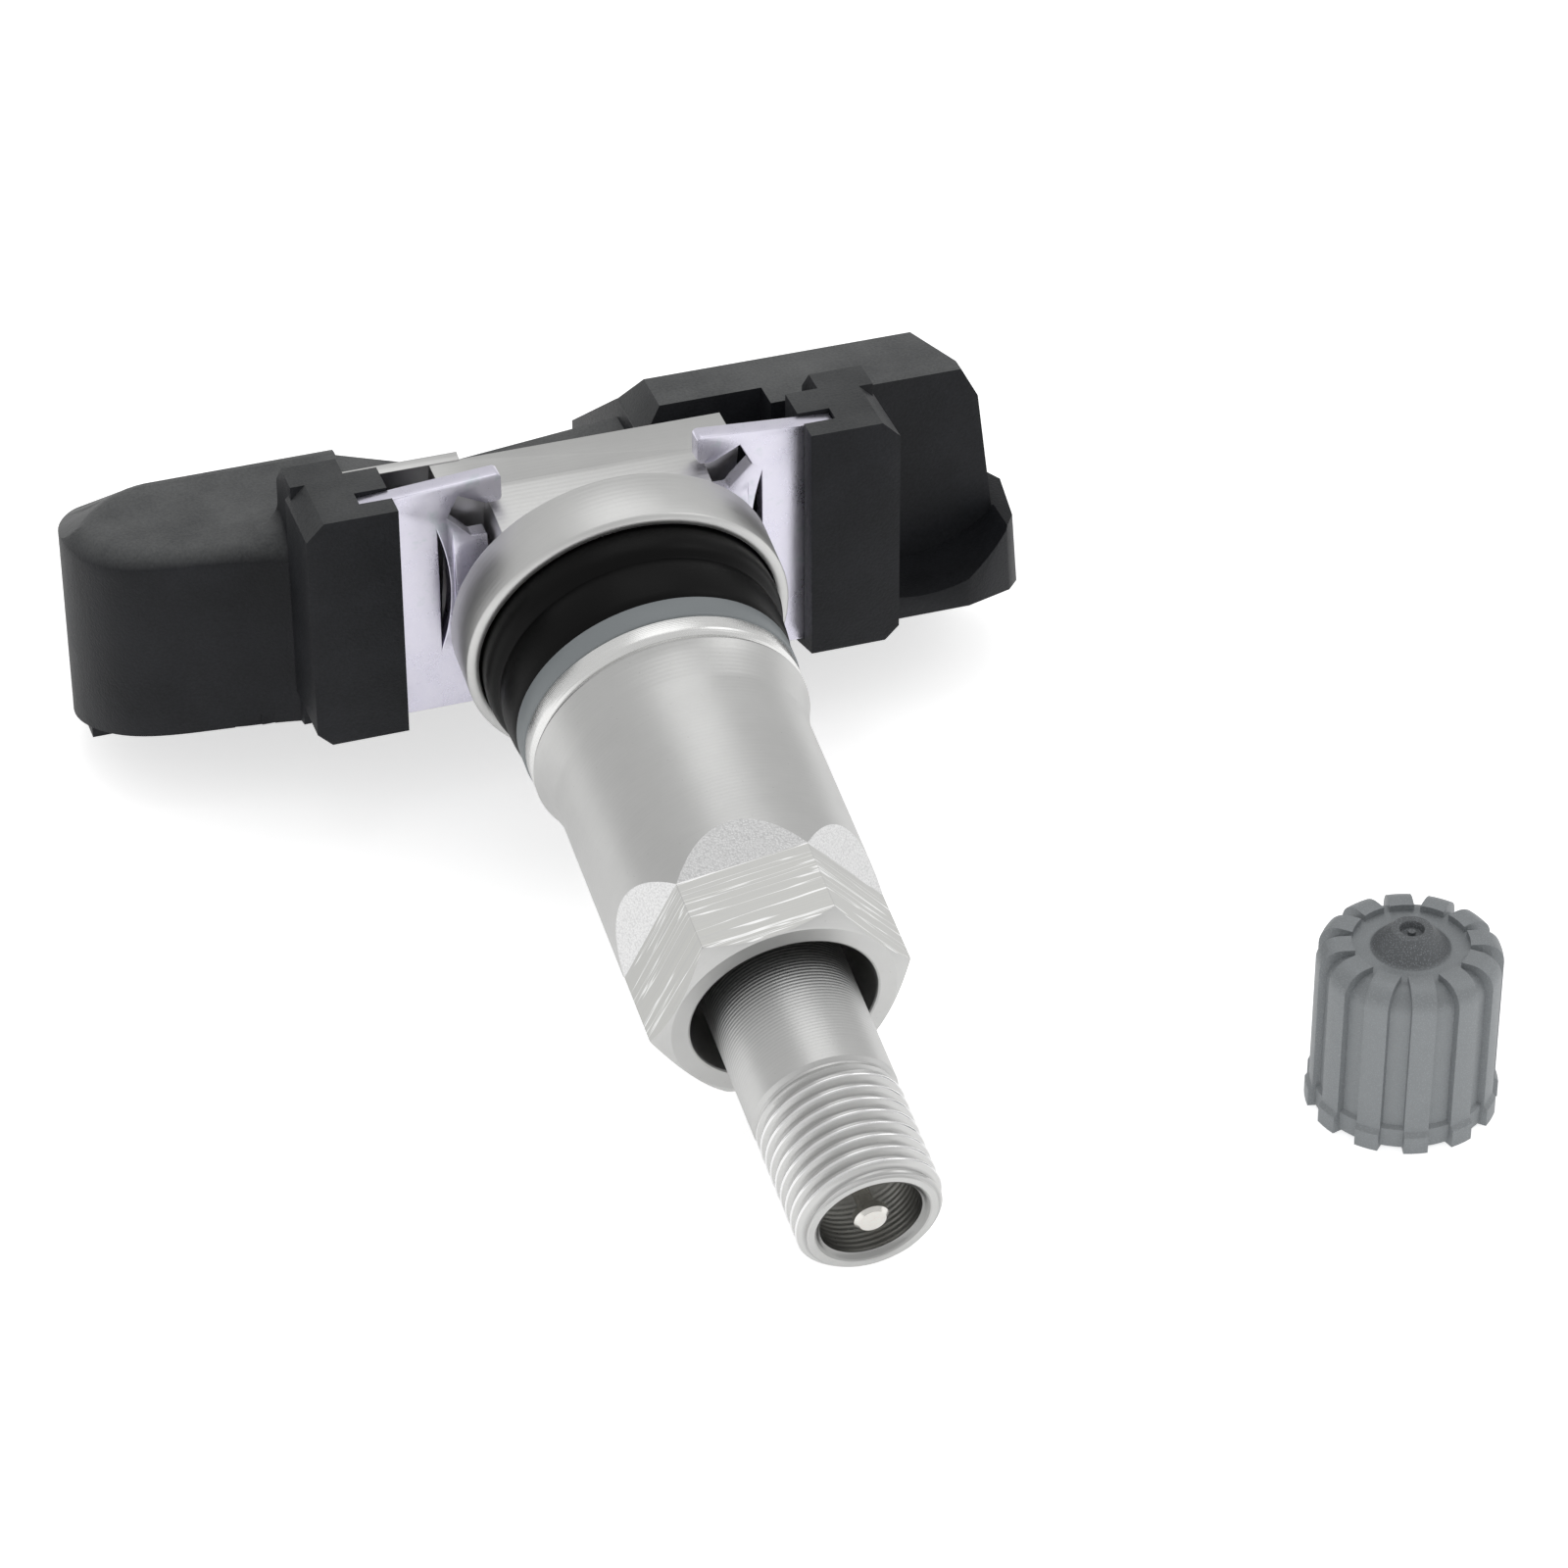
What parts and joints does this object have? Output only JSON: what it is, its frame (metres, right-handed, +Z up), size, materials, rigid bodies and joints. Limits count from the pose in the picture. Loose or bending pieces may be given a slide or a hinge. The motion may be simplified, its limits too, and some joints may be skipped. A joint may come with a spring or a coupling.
{
  "type": "tyre pressure sensor",
  "caption": "Tyre pressure sensor with a clamp-in metal valve: grommet, rings and sleeve nut on the stem, dark housing on a bracket, and the valve cap off, standing beside it.",
  "frame": {"origin": "centre of the front face of the valve's flange, where the rim's hole sits", "axes": "+Z up, +X to the right, -Y towards the valve's tip; the valve leans 12.5 degrees tip down"},
  "size_m": [0.0631, 0.0669, 0.0221],
  "materials": {
    "valve_aluminium": "satin",
    "nut_aluminium": "satin, turned",
    "washer_aluminium": "bright, turned",
    "grey_nylon": "smooth",
    "black_rubber": "matte",
    "core_brass": "nickelled where seen",
    "spring_steel": "plain",
    "zinc_plate": "zinc plated",
    "housing_plastic": "fine texture",
    "board": "lacquered",
    "chip_black": "plain",
    "small_metal": "plain",
    "ferrite": "plain",
    "copper": "enamelled wire",
    "ceramic": "plain",
    "membrane": "plain",
    "cap_plastic": "metallic grey, satin"
  },
  "bodies": {
    "housing_body": {"housing": "housing_plastic", "base_cover": "housing_plastic", "mounting_bracket": "zinc_plate", "circuit_board": "board", "battery_can": "spring_steel", "battery_lid": "spring_steel", "battery_gasket": "black_rubber", "tab_positive": "spring_steel", "tab_negative": "spring_steel", "sensor_chip": "chip_black", "chip_lid": "small_metal", "port_filter": "membrane", "coil_core": "ferrite", "coil_winding": "copper", "antenna_loop": "small_metal", "crystal_can": "small_metal", "chip_capacitors": "ceramic", "valve_cap": "cap_plastic", "cap_seal": "black_rubber"},
    "valve": {"valve_stem": "valve_aluminium", "rim_seal": "black_rubber", "core_barrel": "core_brass", "core_seal": "black_rubber", "core_spring": "spring_steel"},
    "rings": {"thrust_ring": "grey_nylon", "collar_washer": "washer_aluminium"},
    "nut": {"sleeve_nut": "nut_aluminium"},
    "pin": {"core_pin": "core_brass", "core_poppet": "black_rubber"}
  },
  "joints": [
    {"name": "valve_tilt", "type": "hinge", "parent": "housing_body", "child": "valve", "pos_m": [0, 0.00488, 0.00108], "axis": [1, 0, 0], "range_deg": [-12.5, 0]},
    {"name": "ring_slide", "type": "slide", "parent": "valve", "child": "rings", "axis": [0, -0.9763, -0.2164], "range_m": [0, 0.004]},
    {"name": "nut_turn", "type": "hinge", "parent": "rings", "child": "nut", "pos_m": [0, -0.01757, -0.0039], "axis": [0, -0.9763, -0.2164], "range_deg": [0, 2880.5]},
    {"name": "core_press", "type": "slide", "parent": "valve", "child": "pin", "axis": [0, 0.9763, 0.2164], "range_m": [0, 0.0012], "stiffness_N_per_m": 500, "springref_m": -0.002, "deforming": ["core_spring"]}
  ],
  "couplings": [
    {"joint": "nut_turn", "follows": "ring_slide", "rad_per_m": 12566}
  ]
}
